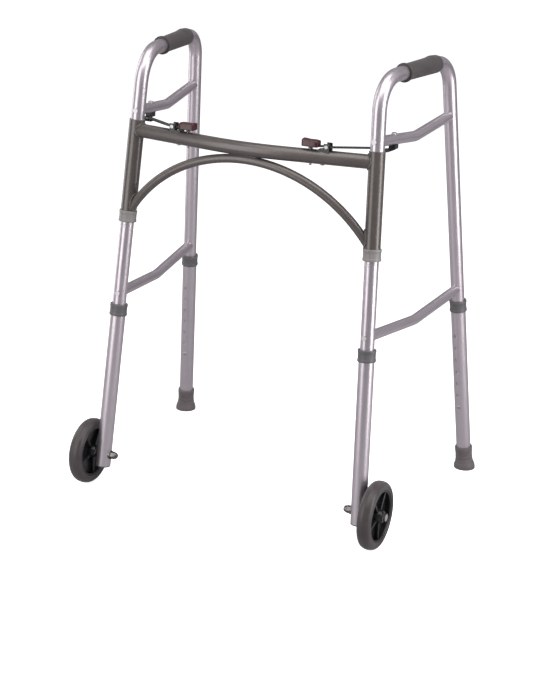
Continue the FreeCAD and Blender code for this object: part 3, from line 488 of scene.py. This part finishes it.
NODE_MATERIALS = {
    "cross_bar": DARK_FRAME, "arch_brace": DARK_FRAME, "hinge_sleeve": DARK_FRAME,
    "sleeve_top_bushes": LEG_COLLAR, "latch_bracket_rivets": ZINC, "latch_bracket": BLACK_STEEL,
    "latch_bar": BLACK_STEEL, "paddle_stem": ZINC,
    "side_tube": SILVER_TUBE, "front_lower_leg": SILVER_TUBE, "rear_lower_leg": SILVER_TUBE,
    "upper_brace": SILVER_BRACE, "lower_brace": SILVER_BRACE, "side_rivets": ZINC,
    "latch_catch": BLACK_PLASTIC, "catch_bolt": ZINC,
    "snap_button_front": ZINC, "snap_button_rear": ZINC, "leg_end_plug": LEG_COLLAR,
    "axle_bolt": BRIGHT_BOLT, "axle_nut_set": DARK_NUT, "wheel_bush": NYLON}


def dress_nodes():
    """Give every kept CAD node its material."""
    for name, node in NODES.items():
        stem = name.removesuffix("_left").removesuffix("_right")
        if stem not in NODE_MATERIALS:
            continue
        node.data.materials.clear()
        node.data.materials.append(NODE_MATERIALS[stem])


# ---- Wheels: sizes in millimetres, outlines as (radius, distance across the wheel) ---------
X_DIR = Vector((1, 0, 0))
Y_DIR = Vector((0, 1, 0))
WHEEL_CENTRE = centre("wheel_tyre_left")
WHEEL_RADIUS = 63.2
HUB_EDGE = 48.6                 # where tyre and hub meet
TYRE_HALF = 13.0                # half of the tyre's width
TREAD_STEPS = 16
SHOULDER_DROP = 9.5             # from the tread to the edge of the side wall
SHOULDER_CURVE = 1.25
SHOULDER_PINCH = 0.9
PARTING_HALF = 0.45             # half width of the moulded line round the tread
PARTING_STEP = 0.02
PARTING_RISE = 0.2
SIDE_WALL = [(55.0, 0.1), (54.0, 0.9), (52.2, 0.9), (51.4, 0.2), (49.8, 0.3),
             (HUB_EDGE, 1.6)]   # (radius, depth below the tyre's side)
RIM_INNER = 44.5
RIM_HALF = 11.0
BORE_RADIUS = 7.0
WEB_RADIUS = 45.0
WEB_HALF = 1.5
BOSS = [(BORE_RADIUS, 15.0), (11.0, 15.0), (12.8, 9.0), (14.5, 1.0)]
SPOKES = 5
SPOKE_LOW = (11.0, -2.3, -8.5)
SPOKE_HIGH = (45.5, 2.3, 8.5)


def both_sides(outline):
    """Closed outline of a half outline and its mirror image."""
    return [(radius, -across) for radius, across in outline] + outline[::-1]


def tyre():
    """Solid tyre: crowned tread, parting line and a raised bead at the hub."""
    crown = []
    for step in range(TREAD_STEPS + 1):
        angle = math.pi * step / TREAD_STEPS
        drop = SHOULDER_DROP * (1 - math.sin(angle)) ** SHOULDER_CURVE
        half = TYRE_HALF - SHOULDER_PINCH * math.sin(angle) ** 6
        crown.append((WHEEL_RADIUS - drop, -math.cos(angle) * half))
    middle = TREAD_STEPS // 2
    crown.insert(middle + 1, (WHEEL_RADIUS - PARTING_STEP, PARTING_HALF))
    crown.insert(middle, (WHEEL_RADIUS - PARTING_STEP, -PARTING_HALF))
    inner = [(radius, TYRE_HALF - depth) for radius, depth in SIDE_WALL]
    outline = crown + inner + [(radius, -across) for radius, across in reversed(inner)]

    def parting(_, radius, across):
        return radius + (PARTING_RISE if abs(across) < PARTING_HALF else 0.0)

    return lathe("tyre", outline, WHEEL_CENTRE, X_DIR, 128, Y_DIR, parting)


def hub():
    """Moulded hub: rim, thin web, ribbed spokes and a stepped boss."""
    rim = both_sides([(RIM_INNER, RIM_HALF), (HUB_EDGE, RIM_HALF)])
    web = both_sides([(BORE_RADIUS, WEB_HALF), (WEB_RADIUS, WEB_HALF)])
    parts = (("rim", rim, 1.2), ("web", web, 0.4), ("boss", both_sides(BOSS), 1.0))
    pieces = [lathe("hub_" + name, rounded(outline, edge), WHEEL_CENTRE, X_DIR, 96, Y_DIR)
              for name, outline, edge in parts]
    turned = basis(WHEEL_CENTRE, X_DIR, Y_DIR)
    for index in range(SPOKES):
        turn = Matrix.Rotation(2 * math.pi * index / SPOKES, 4, "Z")
        pieces.append(block("spoke", SPOKE_LOW, SPOKE_HIGH, 1.1, turned @ turn))
    return join("hub", pieces)


# ---- Turned rubber and plastic: outlines as (radius, height) in millimetres ----------------
TIP_EDGE = 0.6
COLLAR_EDGE = 0.5
EDGE_STEPS = 3
TIP_OUTLINE = [
    (0, -5.5), (20.2, -5.5), (21.1, -2.5), (21.2, 3.0), (20.9, 7.0), (19.4, 11.5), (17.9, 16.0),
    (17.2, 21.0), (16.6, 22.0), (16.6, 23.4), (17.0, 24.2), (16.9, 29.0), (16.5, 30.0),
    (16.5, 31.4), (16.9, 32.2), (17.0, 38.0), (17.4, 40.0), (17.4, 46.5), (16.6, 48.6),
    (14.4, 49.0), (14.4, 9.0), (0, 9.0)]


def rubber_tip():
    """Ferrule tip with ring grooves and a flared foot, cut flat at the floor."""
    piece = lathe("tip", rounded(TIP_OUTLINE, TIP_EDGE, EDGE_STEPS), REAR_FOOT, REAR_AXIS)
    work = bmesh.new()
    work.from_mesh(piece.data)
    geometry = work.verts[:] + work.edges[:] + work.faces[:]
    cut = bmesh.ops.bisect_plane(work, geom=geometry, plane_co=(0, 0, 0), plane_no=(0, 0, 1),
                                 clear_inner=True)
    rim = [item for item in cut["geom_cut"] if isinstance(item, bmesh.types.BMEdge)]
    bmesh.ops.holes_fill(work, edges=rim)
    work.to_mesh(piece.data)
    work.free()
    smooth(piece.data)
    return piece


COLLAR_RADIUS = 16.8
COLLAR_BORE = 12.75             # clears the inner tube
COLLAR_LOW = [(0.5, 0.0), (0.0, 0.6), (0.0, 4.4), (0.6, 5.2)]      # (inset, height from bottom)
COLLAR_HIGH = [(0.6, 5.6), (0.0, 4.8), (0.0, 0.6), (0.5, 0.0)]     # (inset, depth from top)
SLEEVE_COLLAR_TOP = 539.4 * MM
SLEEVE_COLLAR_HEIGHT = 21.3
SPIGOT_RADIUS = 13.3
SPIGOT_HEIGHT = 14.0
LEG_COLLAR_TOP = 361.0 * MM
LEG_COLLAR_HEIGHT = 22.0
LEG_COLLAR_SEAT = 14.3          # fits over the outer tube
LEG_COLLAR_CAP = 3.0


def collar_outside(height):
    """Outside of a moulded collar below its top: rounded rims and a shallow waist."""
    return ([(COLLAR_RADIUS - inset, rise - height) for inset, rise in COLLAR_LOW]
            + [(COLLAR_RADIUS - inset, -depth) for inset, depth in COLLAR_HIGH])


def sleeve_collar():
    """Collar under the hinge sleeve, with the spigot that runs up inside it."""
    spigot = [(SPIGOT_RADIUS, 0), (SPIGOT_RADIUS, SPIGOT_HEIGHT), (COLLAR_BORE, SPIGOT_HEIGHT)]
    outline = ([(COLLAR_BORE, -SLEEVE_COLLAR_HEIGHT)] + collar_outside(SLEEVE_COLLAR_HEIGHT)
               + spigot)
    return lathe("sleeve_collar", rounded(outline, COLLAR_EDGE, EDGE_STEPS),
                 front_axis_at(SLEEVE_COLLAR_TOP), FRONT_AXIS)


def leg_collar(name, top, axis):
    """Collar that caps an outer leg tube."""
    cap = [(COLLAR_BORE, 0), (COLLAR_BORE, -LEG_COLLAR_CAP), (LEG_COLLAR_SEAT, -LEG_COLLAR_CAP)]
    outline = ([(LEG_COLLAR_SEAT, -LEG_COLLAR_HEIGHT)] + collar_outside(LEG_COLLAR_HEIGHT)
               + cap)
    return lathe(name, rounded(outline, COLLAR_EDGE, EDGE_STEPS), top, axis)


GRIP_LENGTH = 126.0
GRIP_RADIUS = 17.2
GRIP_FRONT = [                  # bore, flange ring and the start of the body
    (12.72, 0.3), (GRIP_RADIUS - 1.4, 0.3), (GRIP_RADIUS - 0.3, 0.9), (GRIP_RADIUS, 2.2),
    (GRIP_RADIUS, 4.8), (GRIP_RADIUS - 0.5, 6.2), (15.5, 7.2), (15.0, 8.8), (15.0, 11.0)]
GRIP_REAR = [                   # (radius, distance from the rear end)
    (16.3, 9.0), (16.3, 5.5), (15.9, 2.6), (14.9, 0.9), (13.7, 0.3), (12.72, 0.3)]
GRIP_BODY = (15.0, 11.0)        # where the body begins
GRIP_TAIL = 12.0                # the body ends this far from the rear end
GRIP_SWELL = 1.1                # how much the body thickens to the rear
GRIP_STEPS = 40
GRIP_SKIN = 14.0                # only points outside this radius are shaped
RIB_COUNT = 46
RIB_DEPTH = 0.22
RIB_UNDER = 0.25                # ribs fade out above this sine of the angle round the grip
RIB_FADE = 4.0
RIBS_FROM, RIBS_TO = 20.0, GRIP_LENGTH - 16.0
REST_PLACE = GRIP_LENGTH - 22.0     # middle of the thumb rest along the grip
REST_LENGTH = 9.0
REST_RISE = 1.6


def grip_shape(angle, radius, height):
    """Ribs low on the sides and a raised thumb rest on top near the rear end."""
    if radius < GRIP_SKIN:
        return radius
    upward = math.sin(angle)
    if RIBS_FROM < height < RIBS_TO and upward < RIB_UNDER:
        fade = min(1.0, (RIB_UNDER - upward) * RIB_FADE)
        radius += RIB_DEPTH * math.cos(angle * RIB_COUNT) * fade
    rise = math.exp(-((height - REST_PLACE) / REST_LENGTH) ** 2) * max(upward, 0.0) ** 3
    return min(radius + REST_RISE * rise, GRIP_RADIUS + 0.1)


def hand_grip():
    """Moulded grip: a flange ring in front, a body that thickens to the rear, a round end."""
    start = centre("hand_grip_left") - HANDLE_AXIS * (GRIP_LENGTH * MM / 2)
    radius, front = GRIP_BODY
    length = GRIP_LENGTH - front - GRIP_TAIL
    body = [(radius + GRIP_SWELL * t ** 1.2, front + length * t)
            for t in (step / GRIP_STEPS for step in range(1, GRIP_STEPS + 1))]
    rear = [(radius, GRIP_LENGTH - distance) for radius, distance in GRIP_REAR]
    return lathe("grip", GRIP_FRONT + body + rear, start, HANDLE_AXIS, 276, Vector((0, 0, 1)),
                 grip_shape)


# ---- Fold latch ---------------------------------------------------------------------------
PADDLE_CUTS = 9
PADDLE_EDGE = 1.6               # millimetres
PADDLE_TAPER = 0.10             # narrowing at both ends
PADDLE_CROWN = 0.10             # drop at the long edges, as a share of the height
PADDLE_DROOP = 0.30             # drop towards the outer end
DROOP_FROM = 0.45               # share of the length where the droop starts
HOLLOW_DEPTH = 0.09
HOLLOW_PLACE = 0.42
HOLLOW_LENGTH = 0.22
RIDGES = 4
RIDGE_FIRST = 0.26              # places along the paddle, as shares of its length
RIDGE_PITCH = 0.11
RIDGE_HALF = 0.55
RIDGE_ACROSS = (0.2, 0.8)
RIDGE_UP = (0.72, 0.90)
RIDGE_EDGE = 0.45


def paddle():
    """Finger paddle: a rounded, hollowed wedge with finger ridges."""
    low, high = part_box("release_paddle_left")
    size = (high - low) / MM
    work = bmesh.new()
    bmesh.ops.create_cube(work, size=1.0)
    bmesh.ops.subdivide_edges(work, edges=work.edges, cuts=PADDLE_CUTS, use_grid_fill=True)
    for vertex in work.verts:
        x, y, z = (component + 0.5 for component in vertex.co)
        dx = 2 * x - 1
        dy = 2 * y - 1
        width = 1 - PADDLE_TAPER * abs(dx) ** 4
        droop = PADDLE_DROOP * max(0.0, x - DROOP_FROM) ** 1.4
        hollow = HOLLOW_DEPTH * math.exp(-((x - HOLLOW_PLACE) / HOLLOW_LENGTH) ** 2)
        height = 1 - PADDLE_CROWN * dy ** 2 - droop - hollow
        vertex.co = Vector((x * size.x, (0.5 + 0.5 * dy * width) * size.y, z * size.z * height))
    edges = [edge for edge in work.edges
             if len(edge.link_faces) == 2 and edge.calc_face_angle() > 0.6]
    bmesh.ops.bevel(work, geom=edges, offset=PADDLE_EDGE, segments=3, profile=0.5,
                    affect="EDGES")
    bmesh.ops.transform(work, matrix=Matrix.Translation(low) @ Matrix.Scale(MM, 4),
                        verts=work.verts)
    mesh = bpy.data.meshes.new("paddle")
    work.to_mesh(mesh)
    work.free()
    smooth(mesh, 50.0)
    pieces = [add_object("paddle", mesh)]
    for index in range(RIDGES):
        x = size.x * (RIDGE_FIRST + RIDGE_PITCH * index)
        corners = [(x + side * RIDGE_HALF, size.y * across, size.z * up)
                   for side, across, up in zip((-1, 1), RIDGE_ACROSS, RIDGE_UP)]
        pieces.append(block("ridge", *corners, RIDGE_EDGE, Matrix.Translation(low)))
    return join("paddle", pieces)


# ---- Welds --------------------------------------------------------------------------------
SLEEVE_RADIUS = 14.5 * MM
BAR_RADIUS = 12.7 * MM
ARCH_RADIUS = 8.0 * MM
WELD_SINK = 1.2 * MM            # how far the arch's crown sinks into the cross bar
CROSS_BAR_Z = 688.5 * MM
ARCH_END_Z = 532.0 * MM
BAR_HEADING = Vector((-1.0, -0.155, 0.0)).normalized()      # cross bar leaving the left sleeve
CROWN_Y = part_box("cross_bar")[0].y + BAR_RADIUS
CROWN_Z = CROSS_BAR_Z - BAR_RADIUS - ARCH_RADIUS + WELD_SINK
RIPPLE = 0.35                   # height of a weld's scales, as a share of its radius
BAR_BEAD = 2.1 * MM
ARCH_BEAD = 1.8 * MM
CROWN_BEAD = 1.7 * MM
CROWN_HALF = 27 * MM            # half length of the seam on the crown
CROWN_STEPS = 120
SEAM_OUT = 3.8 * MM             # the seam's beads lie this far to each side of the bar's middle
SEAM_DROP = 12.3 * MM           # and this far below it
BOW_DIAMETER = 0.98             # of the cross bar's bow, in metres; near enough over the seam
ARCH_DIAMETER = 1.1             # of the arch at its crown, likewise


def saddle(point, heading, radius, steps=240):
    """Curve where a round tube meets the left sleeve."""
    side = heading.cross(Vector((0, 0, 1))).normalized()
    up = side.cross(heading)
    run = heading - FRONT_AXIS * heading.dot(FRONT_AXIS)
    a = run.length_squared
    curve = []
    for step in range(steps):
        angle = 2 * math.pi * step / steps
        start = point + (side * math.cos(angle) + up * math.sin(angle)) * radius
        offset = start - FRONT_FOOT
        across = offset - FRONT_AXIS * offset.dot(FRONT_AXIS)
        b = 2 * across.dot(run)
        c = across.length_squared - SLEEVE_RADIUS ** 2
        curve.append(start + heading * ((-b + math.sqrt(max(b * b - 4 * a * c, 0.0))) / (2 * a)))
    return curve


def arch_heading():
    """Direction in which the arch leaves the left sleeve."""
    end = front_axis_at(ARCH_END_Z)
    crown = Vector((0, CROWN_Y, CROWN_Z))
    foot = Vector((0, end.y, end.z))
    sagitta = (crown - foot).length
    radius = (end.x ** 2 + sagitta ** 2) / (2 * sagitta)
    middle = crown + (foot - crown).normalized() * radius
    spoke = (end - middle).normalized()
    level = Vector((-1, 0, 0))
    return (level - spoke * level.dot(spoke)).normalized()


def frame_weld():
    """Beads where the cross bar and the arch meet the left sleeve."""
    bar = saddle(front_axis_at(CROSS_BAR_Z), BAR_HEADING, BAR_RADIUS)
    arch = saddle(front_axis_at(ARCH_END_Z), arch_heading(), ARCH_RADIUS)
    return join("frame_weld", [bead("bar_weld", bar, BAR_BEAD, ripple=RIPPLE, ripples=34),
                               bead("arch_weld", arch, ARCH_BEAD, ripple=RIPPLE, ripples=26)])


def crown_weld(side):
    """Bead along one side of the seam between the arch's crown and the cross bar."""
    points = []
    for step in range(CROWN_STEPS + 1):
        x = (step / CROWN_STEPS * 2 - 1) * CROWN_HALF
        points.append(Vector((x, CROWN_Y + x * x / BOW_DIAMETER + side * SEAM_OUT,
                              CROSS_BAR_Z - SEAM_DROP - x * x / ARCH_DIAMETER)))
    return bead("crown", points, CROWN_BEAD, closed=False, ripple=RIPPLE, ripples=20)


# ---- Springs ------------------------------------------------------------------------------
SPRING_TURNS = 3.5
WIRE_RADIUS = 0.45 * MM
COIL_STEPS = 160
COIL_END = 0.14                 # share of the wire that lies flat at each end
SNAP_HEIGHT = 138.5 * MM         # of the lock buttons above the floor
LEAF_ROUTE = (                  # (distance across, distance along the leg), in millimetres
    (9.2, 8.0), (9.2, -8.0), (1.3, -19.4), (-7.4, -19.4), (-8.2, 8.0))
LEAF_HALF = (3.5, 0.38)         # half width and half thickness, in millimetres
LEAF_BEND = 3.0                 # reach of a bend to each side of its corner
LEAF_STEPS = 6


def paddle_spring():
    """Coil spring with closed ends around the paddle's stem."""
    low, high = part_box("paddle_spring_left")
    middle = (low + high) / 2
    radius = (high.x - low.x) / 2 - WIRE_RADIUS
    rise = high.z - low.z - 2 * WIRE_RADIUS
    points = []
    for step in range(COIL_STEPS + 1):
        t = step / COIL_STEPS
        climb = min(max((t - COIL_END) / (1 - 2 * COIL_END), 0.0), 1.0)
        angle = 2 * math.pi * SPRING_TURNS * t
        points.append(Vector((middle.x + radius * math.cos(angle),
                              middle.y + radius * math.sin(angle),
                              low.z + WIRE_RADIUS + rise * climb)))
    return bead("coil", points, WIRE_RADIUS, closed=False)


def leaf_spring(name, base, axis, across):
    """Leaf spring folded in a V inside a leg, its end under the lock button."""
    corners = [Vector((reach, along, 0)) for reach, along in LEAF_ROUTE]
    route = [corners[0]]
    for before, corner, after in zip(corners, corners[1:], corners[2:]):
        route += bend(corner + (before - corner).normalized() * LEAF_BEND, corner,
                      corner + (after - corner).normalized() * LEAF_BEND, LEAF_STEPS)
    route.append(corners[-1])
    half_width, half_thickness = LEAF_HALF
    vertices = []
    for index, point in enumerate(route):
        ahead = route[min(index + 1, len(route) - 1)] - route[max(index - 1, 0)]
        normal = Vector((-ahead.y, ahead.x, 0)).normalized() * half_thickness
        for width, side in ((-1, -1), (1, -1), (1, 1), (-1, 1)):
            flat = point + normal * side
            vertices.append(base + (across * flat.x + axis * flat.y
                                    + OUTBOARD * (width * half_width)) * MM)
    faces = [(0, 1, 2, 3), tuple(len(vertices) - 1 - corner for corner in range(4))]
    for index in range(len(route) - 1):
        for corner in range(4):
            ahead = (corner + 1) % 4
            faces.append((index * 4 + corner, index * 4 + ahead,
                          index * 4 + 4 + ahead, index * 4 + 4 + corner))
    return new_object(name, vertices, faces)


def place_springs():
    """Coil springs round the paddle stems on the front frame, and leaf springs in the legs under
    the lock buttons.
    """
    coils = place_pair("stem_coil", paddle_spring(), "front_frame", SPRING,
                       "paddle_spring")
    for side, coil in coils.items():
        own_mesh(coil)
    forward = -REAR_AXIS.cross(OUTBOARD)
    for leg, foot, axis, across in (("front", FRONT_FOOT, FRONT_AXIS, REARWARD),
                                    ("rear", REAR_FOOT, REAR_AXIS, forward)):
        base = foot + axis * (SNAP_HEIGHT / axis.z)
        left = leaf_spring(leg + "_leaf_left", base, axis, across)
        for side, leaf in (("left", left), ("right", mirrored(left, leg + "_leaf_right"))):
            leaf.data.materials.clear()
            leaf.data.materials.append(SPRING)
            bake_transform(leaf)
            if leg == "front":
                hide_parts("snap_springs_" + side)


# ---- Whole model --------------------------------------------------------------------------
def build_pieces():
    """Make, dress and attach every visual piece but the springs."""
    place_pair("tyre", tyre(), "wheel_{side}", TYRE, "wheel_tyre")
    place_pair("hub", hub(), "wheel_{side}", HUB, "wheel_hub")
    place_pair("ferrule_tip", rubber_tip(), "rear_leg_{side}", TIP, "rubber_tip")
    place_pair("grip", hand_grip(), "side_{side}", GRIP, "hand_grip")
    place_pair("sleeve_collar_moulding", sleeve_collar(), "front_frame", COLLAR,
               "sleeve_collar")
    for leg, axis_at, axis in (("front", front_axis_at, FRONT_AXIS),
                               ("rear", rear_axis_at, REAR_AXIS)):
        place_pair(leg + "_collar_moulding", leg_collar(leg, axis_at(LEG_COLLAR_TOP), axis),
                   leg + "_leg_{side}", LEG_COLLAR, leg + "_leg_collar")
    place_pair("frame_weld", frame_weld(), "front_frame", WELD)
    seam = join("crown_weld", [crown_weld(-1), crown_weld(1)])
    seam.data.materials.append(WELD)
    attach(seam, "front_frame")
    place_pair("paddle", paddle(), "latch_{side}", PADDLE, "release_paddle")


dress_nodes()
build_pieces()
place_springs()


# ---- Stage, light and camera --------------------------------------------------------------
FLOOR_HALF = 40.0
FLOOR_WHITE = (0.9, 0.9, 0.9)
FLOOR_GREY = (0.42, 0.41, 0.42)     # what reflections and bounced light see
FLOOR_GLOW = 0.80
ROOM_TONE = (0.5, 0.49, 0.52, 1)
ROOM_STRENGTH = 0.55
SWEEP_STRENGTH = 1.1
SOFTBOX_GAP = 0.02
CAMERA_AZIMUTH = 25.0
CAMERA_ELEVATION = 19.21
CAMERA_ROLL = 1.92
CAMERA_DISTANCE = 3.2984
CAMERA_AIM = Vector((-0.0366, 0.0775, 0.2559))
CAMERA_LENS = 88.54


def stage():
    """Plain white floor; it reads darker to reflections, as a sweep outside the light does."""
    size = FLOOR_HALF
    floor = new_object("floor", [(-size, -size, 0), (size, -size, 0), (size, size, 0),
                                 (-size, size, 0)], [(0, 1, 2, 3)])
    surface = Surface("floor_paint", FLOOR_WHITE, 0.8, specular=0.1)
    seen = surface.node("ShaderNodeLightPath").outputs["Is Camera Ray"]
    surface.feed(surface.shader.inputs["Base Color"],
                 surface.blend(seen, FLOOR_GREY, FLOOR_WHITE))
    surface.shader.inputs["Emission Color"].default_value = (1, 1, 1, 1)
    surface.feed(surface.shader.inputs["Emission Strength"],
                 surface.ramp(seen, 0.0, 1.0, 0.0, FLOOR_GLOW))
    floor.data.materials.append(surface.material)


def area_light(name, place, aim, size, power):
    """Soft rectangular light."""
    data = bpy.data.lights.new(name, "AREA")
    data.shape = "RECTANGLE"
    data.size, data.size_y = size
    data.energy = power
    lamp = bpy.data.objects.new(name, data)
    lamp.location = place
    heading = Vector(aim) - Vector(place)
    lamp.rotation_euler = heading.to_track_quat("-Z", "Y").to_euler()
    bpy.context.scene.collection.objects.link(lamp)


def strip_light(name, bearing, distance, size, power):
    """Upright softbox just above the floor, at a bearing from the camera's."""
    angle = math.radians(CAMERA_AZIMUTH + bearing)
    spot = Vector((math.sin(angle), -math.cos(angle), 0)) * distance
    middle = Vector((0, 0, size[1] / 2 + SOFTBOX_GAP))
    area_light(name, spot + middle, middle, size, power)


def lights():
    """Soft studio: a white sweep for the camera, a grey room with softboxes for the metal."""
    world = bpy.data.worlds.new("studio")
    bpy.context.scene.world = world
    world.use_nodes = True
    nodes = world.node_tree.nodes
    links = world.node_tree.links
    room = nodes["Background"]
    room.inputs["Color"].default_value = ROOM_TONE
    room.inputs["Strength"].default_value = ROOM_STRENGTH
    sweep = nodes.new("ShaderNodeBackground")
    sweep.inputs["Color"].default_value = (1, 1, 1, 1)
    sweep.inputs["Strength"].default_value = SWEEP_STRENGTH
    path = nodes.new("ShaderNodeLightPath")
    mix = nodes.new("ShaderNodeMixShader")
    links.new(path.outputs["Is Camera Ray"], mix.inputs[0])
    links.new(room.outputs[0], mix.inputs[1])
    links.new(sweep.outputs[0], mix.inputs[2])
    links.new(mix.outputs[0], nodes["World Output"].inputs["Surface"])
    strip_light("key", 62.0, 1.8, (0.8, 2.4), 30.0)
    strip_light("fill", -52.0, 1.8, (1.1, 2.4), 20.0)
    strip_light("side", -118.0, 2.0, (1.0, 2.2), 14.0)
    area_light("top", (0.3, -0.6, 2.8), (0, 0, 0.3), (2.4, 2.4), 42.0)


def camera():
    """Camera at the reference viewing angle."""
    azimuth = math.radians(CAMERA_AZIMUTH)
    elevation = math.radians(CAMERA_ELEVATION)
    roll = math.radians(CAMERA_ROLL)
    back = Vector((math.sin(azimuth) * math.cos(elevation),
                   -math.cos(azimuth) * math.cos(elevation), math.sin(elevation)))
    level = Vector((math.cos(azimuth), math.sin(azimuth), 0))
    upright = back.cross(level)
    right = level * math.cos(roll) + upright * math.sin(roll)
    up = back.cross(right)
    data = bpy.data.cameras.new("camera")
    data.lens = CAMERA_LENS
    view = bpy.data.objects.new("camera", data)
    matrix = Matrix((right, up, back)).transposed().to_4x4()
    matrix.translation = CAMERA_AIM + back * CAMERA_DISTANCE
    view.matrix_world = matrix
    bpy.context.scene.collection.objects.link(view)
    bpy.context.scene.camera = view
    bpy.context.scene.view_settings.view_transform = "Standard"


stage()
lights()
camera()
